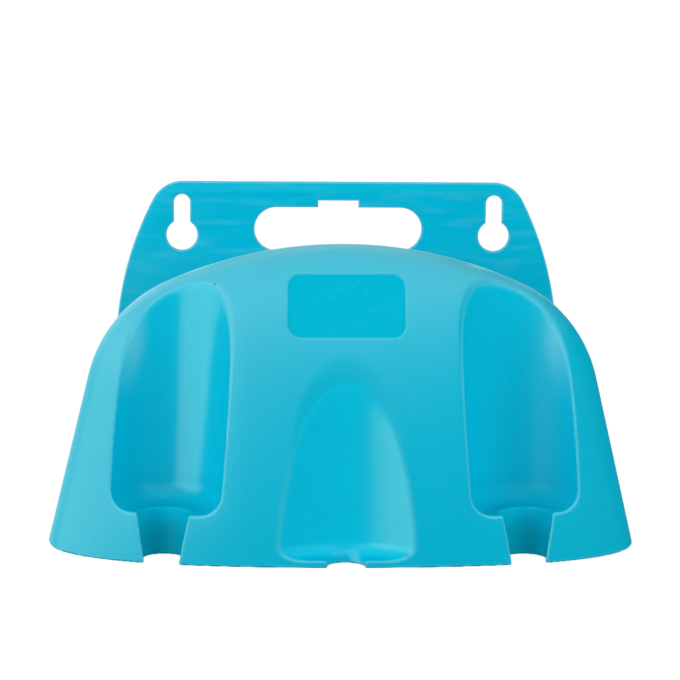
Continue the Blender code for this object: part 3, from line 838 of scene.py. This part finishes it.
def board_mesh():
    """The wall plate without its screw holes, with soft edges round its outline and holes."""
    curve = bpy.data.curves.new("wall_board", 'CURVE')
    curve.dimensions = '2D'
    curve.fill_mode = 'BOTH'
    curve.extrude = (PLATE_THICKNESS / 2 - PLATE_EDGE) * MM
    curve.bevel_depth = PLATE_EDGE * MM
    curve.bevel_resolution = PLATE_EDGE_STEPS
    curve.offset = -PLATE_EDGE * MM
    outlines = [plate_outline(), hand_hole_outline()]
    outlines += [keyhole_outline(side * KEYHOLE_X) for side in (-1, 1)]
    for outline in outlines:
        spline = curve.splines.new('POLY')
        spline.points.add(len(outline) - 1)
        for point, (x, z) in zip(spline.points, outline):
            point.co = (x * MM, (z + FOOT) * MM, 0.0, 1.0)
        spline.use_cyclic_u = True
    drawn = bpy.data.objects.new("drawn", curve)
    drawn.rotation_euler = (math.pi / 2, 0.0, 0.0)
    drawn.location = (0.0, -PLATE_THICKNESS * MM / 2, 0.0)
    bpy.context.scene.collection.objects.link(drawn)
    mesh = mesh_of(drawn)
    mesh.transform(drawn.matrix_world)
    bpy.data.objects.remove(drawn)
    shape = bmesh.new()
    shape.from_mesh(mesh)
    bmesh.ops.remove_doubles(shape, verts=shape.verts, dist=1e-6)
    bmesh.ops.recalc_face_normals(shape, faces=shape.faces)
    shape.to_mesh(mesh)
    shape.free()
    return mesh


def screw_hole_mesh():
    """What a countersunk screw hole takes away from the plate."""
    head = SCREW_HEAD_RADIUS + SCREW_GAP
    shank = SCREW_SHANK_RADIUS + SCREW_GAP
    back, front = SCREW_HOLE_ENDS
    neck = SCREW_HEAD_SINK + SCREW_HEAD_HEIGHT
    profile = [(0.0, back), (head, back), (head, SCREW_HEAD_SINK), (shank, neck),
               (shank, front), (0.0, front)]
    return turned_mesh(profile, SCREW_STEPS)


def make_plate(material):
    """The wall plate with its screw holes."""
    plate = new_object("wall_board", board_mesh(), material)
    cuts = []
    for x, z in all_bosses():
        cut = new_object("screw_hole", screw_hole_mesh())
        cut.rotation_euler = (math.pi / 2, 0.0, 0.0)
        cut.location = (x * MM, 0.0, (z + FOOT) * MM)
        hole = plate.modifiers.new("hole", 'BOOLEAN')
        hole.object = cut
        hole.solver = 'EXACT'
        cuts.append(cut)
    finished = mesh_of(plate)
    plate.modifiers.clear()
    plate.data = finished
    # Painted highlight on a band of the bevel round both faces of the plate
    depths = [-point.co.y / MM for point in finished.vertices]
    from_face = [min(depth, PLATE_THICKNESS - depth) for depth in depths]
    start, end = PLATE_PAINTED_HIGHLIGHT_BAND
    store_painted_light(finished, [PLATE_PAINTED_HIGHLIGHT if start < gap < end else 0.0 for gap in from_face])
    for cut in cuts:
        bpy.data.objects.remove(cut)
    smooth_by_angle(plate, SMOOTH_ANGLE)
    return plate


def smooth_by_angle(obj, degrees):
    """Shade a mesh smooth, with its sharper edges kept."""
    mesh = obj.data
    mesh.shade_smooth()
    shape = bmesh.new()
    shape.from_mesh(mesh)
    limit = math.radians(degrees)
    for edge in shape.edges:
        edge.smooth = len(edge.link_faces) == 2 and edge.calc_face_angle() < limit
    shape.to_mesh(mesh)
    shape.free()


def screw_radius(height, share):
    """Radius of a screw at a height and a share of a turn."""
    neck = SCREW_HEAD_SINK + SCREW_HEAD_HEIGHT
    tip = SCREW_HEAD_SINK + SCREW_LENGTH
    if height <= SCREW_HEAD_SINK:
        return SCREW_HEAD_RADIUS
    if height <= neck:
        return SCREW_SHANK_RADIUS
    turn = (height / THREAD_PITCH - share) % 1.0
    crest = max(0.0, 1.0 - abs(turn - 0.5) * THREAD_FLANK)
    taper = min(1.0, (tip - height) / (TIP_TAPER * SCREW_SHANK_RADIUS))
    radius = SCREW_SHANK_RADIUS - THREAD_HEIGHT + THREAD_HEIGHT * crest
    return radius * max(taper, TIP_SHARE)


def screw_mesh():
    """A countersunk screw with a thread, its head at local zero."""
    neck = SCREW_HEAD_SINK + SCREW_HEAD_HEIGHT
    start = neck + THREAD_START
    reach = SCREW_HEAD_SINK + SCREW_LENGTH - start
    heights = [SCREW_HEAD_SINK, neck]
    heights += [start + reach * row / THREAD_ROWS for row in range(THREAD_ROWS)]
    shape = bmesh.new()
    rings = []
    for height in heights:
        radii = [screw_radius(height, step / SCREW_STEPS) for step in range(SCREW_STEPS)]
        rings.append(ring_of(shape, radii, height))
    skin(shape, rings)
    shape.faces.new(list(reversed(rings[0])))
    shape.faces.new(rings[-1])
    bmesh.ops.recalc_face_normals(shape, faces=shape.faces)
    return mesh_from(shape, "screw")


def cross_mesh():
    """The cross that is cut into a screw's head, with arms that are shorter at its bottom."""
    shape = bmesh.new()
    for turned in (False, True):
        made = bmesh.ops.create_cube(shape, size=MM)
        for vertex in made["verts"]:
            deep = vertex.co.z > 0.0
            length = CROSS_LENGTH * (CROSS_TAPER if deep else 1.0)
            vertex.co.x *= length if turned else CROSS_WIDTH
            vertex.co.y *= CROSS_WIDTH if turned else length
            vertex.co.z = (CROSS_DEPTH + SCREW_HEAD_SINK) * MM if deep else -MM
    return mesh_from(shape, "cross")


def make_screws(material):
    """Six screws driven from the back of the plate."""
    blank = new_object("screw_blank", screw_mesh())
    cross = new_object("screw_cross", cross_mesh())
    cut = blank.modifiers.new("cross", 'BOOLEAN')
    cut.object = cross
    cut.solver = 'EXACT'
    cut.use_self = True
    finished = mesh_of(blank)
    bpy.data.objects.remove(blank)
    bpy.data.objects.remove(cross)
    screws = []
    for index, (x, z) in enumerate(all_bosses(), start=1):
        screw = new_object(f"countersunk_screw_{index}", finished.copy(), material)
        place = Matrix.Translation((x * MM, 0.0, (z + FOOT) * MM))
        upright = Matrix.Rotation(math.pi / 2, 4, 'X')
        turn = Matrix.Rotation(SCREW_TURN * index, 4, 'Z')
        screw.data.transform(place @ upright @ turn)
        smooth_by_angle(screw, SMOOTH_ANGLE)
        screws.append(screw)
    return screws


def add_node(tree, kind, **settings):
    """A node with some of its settings and inputs set."""
    node = tree.nodes.new(kind)
    for name, value in settings.items():
        if hasattr(node, name):
            setattr(node, name, value)
        else:
            node.inputs[name.replace("_", " ")].default_value = value
    return node


def mixed(tree, factor, first, second, kind='RGBA'):
    """Mix two colours, or with kind FLOAT two numbers; each may be a socket."""
    node = add_node(tree, "ShaderNodeMix", data_type=kind)
    tree.links.new(factor, node.inputs["Factor"])
    for slot, value in (("A", first), ("B", second)):
        if isinstance(value, bpy.types.NodeSocket):
            tree.links.new(value, node.inputs[slot])
        else:
            node.inputs[slot].default_value = (*value, 1.0) if kind == 'RGBA' else value
    return node.outputs["Result"]


def ramp(tree, value, start, end, low, high):
    """A smooth ramp of a value."""
    node = add_node(tree, "ShaderNodeMapRange", interpolation_type='SMOOTHSTEP', From_Min=start,
                    From_Max=end, To_Min=low, To_Max=high)
    tree.links.new(value, node.inputs["Value"])
    return node.outputs["Result"]


def noise(tree, place, scale, detail):
    """Noise at a place."""
    node = add_node(tree, "ShaderNodeTexNoise", Scale=scale, Detail=detail)
    tree.links.new(place, node.inputs["Vector"])
    return node.outputs["Fac"]


def new_material(name):
    """A new material, its node tree and its shader."""
    material = bpy.data.materials.new(name)
    material.use_nodes = True
    return material, material.node_tree, material.node_tree.nodes["Principled BSDF"]


def plastic(name, roughness, specular, haze, painted_light_level, painted_sheen=0.0, stretch=(1.0, 1.0, 1.0)):
    """Moulded plastic: uneven colour and gloss, specks, painted highlights and painted shade at
    edges and hollows, and painted sheen on one side.
    """
    material, tree, shader = new_material(name)
    links = tree.links
    shader.inputs["Specular IOR Level"].default_value = specular
    place = add_node(tree, "ShaderNodeTexCoord").outputs["Object"]
    drawn = add_node(tree, "ShaderNodeMapping", Scale=stretch)
    links.new(place, drawn.inputs["Vector"])
    # Painted light: each copy of the plastic is made lighter or darker for how much light falls
    # on it
    base = [c * painted_light_level for c in PLASTIC]
    dark, light = ([c * share for c in base] for share in CLOUD_SHADES)
    colour = mixed(tree, noise(tree, place, *CLOUDS), dark, light)
    grain = noise(tree, drawn.outputs["Vector"], *GRAIN)
    colour = mixed(tree, ramp(tree, grain, *HAZE_RANGE, 0.0, haze), colour, PALE_GRAIN_AND_SHEEN)
    specks = noise(tree, place, *SPECKS)
    colour = mixed(tree, ramp(tree, specks, *SPECK_RANGE, 0.0, SPECK_STRENGTH), colour, PALE_GRAIN_AND_SHEEN)
    # Painted sheen on the side that faces the light
    if painted_sheen:
        lit_side = add_node(tree, "ShaderNodeVectorMath", operation='DOT_PRODUCT')
        links.new(add_node(tree, "ShaderNodeNewGeometry").outputs["Normal"], lit_side.inputs[0])
        lit_side.inputs[1].default_value = PAINTED_SHEEN_SIDE
        painted_sheen_amount = ramp(tree, lit_side.outputs["Value"], *PAINTED_SHEEN_RANGE, 0.0, painted_sheen)
        colour = mixed(tree, painted_sheen_amount, colour, PALE_GRAIN_AND_SHEEN)
    # Painted highlight where the edge attribute is above 0, painted shade where it is below 0
    edge = add_node(tree, "ShaderNodeAttribute", attribute_name="edge").outputs["Fac"]
    colour = mixed(tree, ramp(tree, edge, 0.0, PAINTED_HIGHLIGHT_FULL, 0.0, PAINTED_HIGHLIGHT_STRENGTH), colour, PALE_GRAIN_AND_SHEEN)
    painted_dark = [c * PAINTED_SHADE_DARKNESS for c in base]
    colour = mixed(tree, ramp(tree, edge, 0.0, -1.0, 0.0, PAINTED_SHADE_STRENGTH), colour, painted_dark)
    links.new(colour, shader.inputs["Base Color"])
    low, high = (roughness + spread for spread in GLOSS_SPREAD)
    links.new(ramp(tree, grain, *GLOSS_RANGE, low, high), shader.inputs["Roughness"])
    bump = add_node(tree, "ShaderNodeBump", Strength=BUMP_STRENGTH, Distance=BUMP_HEIGHT)
    links.new(noise(tree, place, *BUMPS), bump.inputs["Height"])
    links.new(bump.outputs["Normal"], shader.inputs["Normal"])
    return material


def zinc():
    """Zinc plated steel with fine scratches."""
    material, tree, shader = new_material("zinc_plated")
    shader.inputs["Base Color"].default_value = (*STEEL, 1.0)
    shader.inputs["Metallic"].default_value = 1.0
    place = add_node(tree, "ShaderNodeTexCoord").outputs["Object"]
    least, most = STEEL_ROUGHNESS
    gloss = add_node(tree, "ShaderNodeMapRange", To_Min=least, To_Max=most)
    tree.links.new(noise(tree, place, *SCRATCHES), gloss.inputs["Value"])
    tree.links.new(gloss.outputs["Result"], shader.inputs["Roughness"])
    return material


def pale_floor():
    """Pale floor that takes shadows: it glows, and more so for the camera and mirrors."""
    material, tree, shader = new_material("pale_floor")
    links = tree.links
    tree.nodes.remove(shader)
    colour = (FLOOR_ALBEDO, FLOOR_ALBEDO, FLOOR_ALBEDO, 1.0)
    matte = add_node(tree, "ShaderNodeBsdfDiffuse", Color=colour)
    light = add_node(tree, "ShaderNodeEmission")
    ray = add_node(tree, "ShaderNodeLightPath")
    seen = ray.outputs["Is Camera Ray"]
    for kind in ("Is Glossy Ray", "Is Transmission Ray"):
        either = add_node(tree, "ShaderNodeMath", operation='MAXIMUM')
        links.new(seen, either.inputs[0])
        links.new(ray.outputs[kind], either.inputs[1])
        seen = either.outputs["Value"]
    links.new(mixed(tree, seen, FLOOR_FILL, FLOOR_GLOW, kind='FLOAT'), light.inputs["Strength"])
    both = add_node(tree, "ShaderNodeAddShader")
    links.new(matte.outputs[0], both.inputs[0])
    links.new(light.outputs[0], both.inputs[1])
    links.new(both.outputs[0], tree.nodes["Material Output"].inputs["Surface"])
    return material


def flat_sheet(name, size, material):
    """A flat square of a size."""
    shape = bmesh.new()
    bmesh.ops.create_grid(shape, x_segments=1, y_segments=1, size=size / 2)
    return new_object(name, mesh_from(shape, name), material)


def make_floor():
    """A pale floor under the foot."""
    floor = flat_sheet("floor", FLOOR_SIZE, pale_floor())
    floor.location = (0.0, 0.0, FOOT * MM - FLOOR_DROP)
    floor.visible_glossy = False
    floor.visible_shadow = False


def make_card():
    """A dark card behind the right-hand side, which keeps that edge deep in colour."""
    black, _, shader = new_material("black_card")
    shader.inputs["Base Color"].default_value = (*CARD_COLOUR, 1.0)
    shader.inputs["Roughness"].default_value = 1.0
    card = flat_sheet("dark_card", CARD_SIZE, black)
    card.location = CARD_PLACE
    card.rotation_euler = (-Vector(CARD_PLACE)).to_track_quat('-Z', 'Y').to_euler()
    card.visible_camera = False


def make_world():
    """A world that is white to the camera and in gloss, and lights less from overhead."""
    world = bpy.data.worlds.new("studio")
    world.use_nodes = True
    tree = world.node_tree
    place = add_node(tree, "ShaderNodeTexCoord").outputs["Generated"]
    split = add_node(tree, "ShaderNodeSeparateXYZ")
    tree.links.new(place, split.inputs["Vector"])
    ray = add_node(tree, "ShaderNodeLightPath")
    level = ramp(tree, split.outputs["Z"], 0.0, 1.0, HORIZON_LIGHT, ZENITH_LIGHT)
    seen = (("Is Glossy Ray", ROOM_SHEEN), ("Is Camera Ray", 1.0), ("Is Transmission Ray", 1.0))
    for kind, strength in seen:
        level = mixed(tree, ray.outputs[kind], level, strength, kind='FLOAT')
    background = tree.nodes["Background"]
    tree.links.new(level, background.inputs["Strength"])
    background.inputs["Color"].default_value = (*WHITE, 1.0)
    bpy.context.scene.world = world


def add_lamp(name, place, facing, width, height, radiance, colour):
    """A flat lamp of a given radiance."""
    lamp = bpy.data.lights.new(name, 'AREA')
    lamp.shape = 'RECTANGLE'
    lamp.size = width
    lamp.size_y = height
    lamp.color = colour
    lamp.energy = radiance * math.pi * width * height
    obj = bpy.data.objects.new(name, lamp)
    obj.location = place
    obj.rotation_euler = Vector(facing).to_track_quat('-Z', 'Y').to_euler()
    obj.visible_camera = False
    bpy.context.scene.collection.objects.link(obj)
    return obj


def direction(azimuth, elevation):
    """Unit vector from the object towards an azimuth and elevation in degrees."""
    az = math.radians(azimuth)
    el = math.radians(elevation)
    return Vector((math.sin(az) * math.cos(el), -math.cos(az) * math.cos(el), math.sin(el)))


def make_lights():
    """The world, the lamps in front, and the walls that show as sheen."""
    make_world()
    for name, azimuth, elevation, distance, size, radiance in FILL_LAMPS:
        towards = direction(azimuth, elevation)
        place = Vector(LAMP_AIM) + towards * distance
        lamp = add_lamp(name, place, -towards, size, size, radiance, WHITE)
        lamp.visible_glossy = False
    for wall in SHEEN_WALLS:
        add_lamp(*wall).visible_diffuse = False


def make_camera():
    """The camera, in front of the hanger and a little above it."""
    data = bpy.data.cameras.new("camera")
    data.lens = CAMERA_LENS
    data.sensor_width = CAMERA_SENSOR
    data.clip_end = CAMERA_REACH
    camera = bpy.data.objects.new("camera", data)
    roll = math.radians(CAMERA_ROLL)
    back = direction(CAMERA_AZIMUTH, CAMERA_ELEVATION)
    right = (-back).cross(Vector((0.0, 0.0, 1.0))).normalized()
    up = right.cross(-back)
    level = right * math.cos(roll) - up * math.sin(roll)
    upright = right * math.sin(roll) + up * math.cos(roll)
    turn = Matrix((level, upright, back)).transposed().to_4x4()
    camera.matrix_world = Matrix.Translation(CAMERA_PLACE) @ turn
    bpy.context.scene.collection.objects.link(camera)
    bpy.context.scene.camera = camera


def main():
    """Build the scene."""
    make_camera()
    make_lights()
    make_floor()
    make_card()
    # Copies of one plastic; the copies inside the hollows and on the plate get a higher painted
    # light level, as less light falls there
    shell = plastic("grained_plastic", roughness=0.34, specular=0.034, haze=0.008, painted_light_level=0.97,
                    painted_sheen=0.12)
    label = plastic("smooth_plastic", roughness=0.25, specular=0.003, haze=0.012, painted_light_level=0.97)
    inside = plastic("polished_plastic", roughness=0.2, specular=0.058, haze=0.002, painted_light_level=1.08)
    worn = plastic("worn_plastic", roughness=0.42, specular=0.026, haze=0.004, painted_light_level=1.08)
    board = plastic("board_plastic", roughness=0.3, specular=0.025, haze=0.035, painted_light_level=1.02,
                    stretch=(0.1, 0.6, 0.6))
    pieces = [
        (make_cradle(shell, label, inside, worn), "hose_cradle", "cyan_plastic"),
        (make_plate(board), "wall_plate", "cyan_plastic"),
    ]
    for index, screw in enumerate(make_screws(zinc()), start=1):
        pieces.append((screw, f"assembly_screw_{index}", "zinc_plated_steel"))
    for piece, node, slot in pieces:
        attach(piece, "root")
        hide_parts(node)
    bpy.context.scene.view_settings.view_transform = 'Standard'


main()
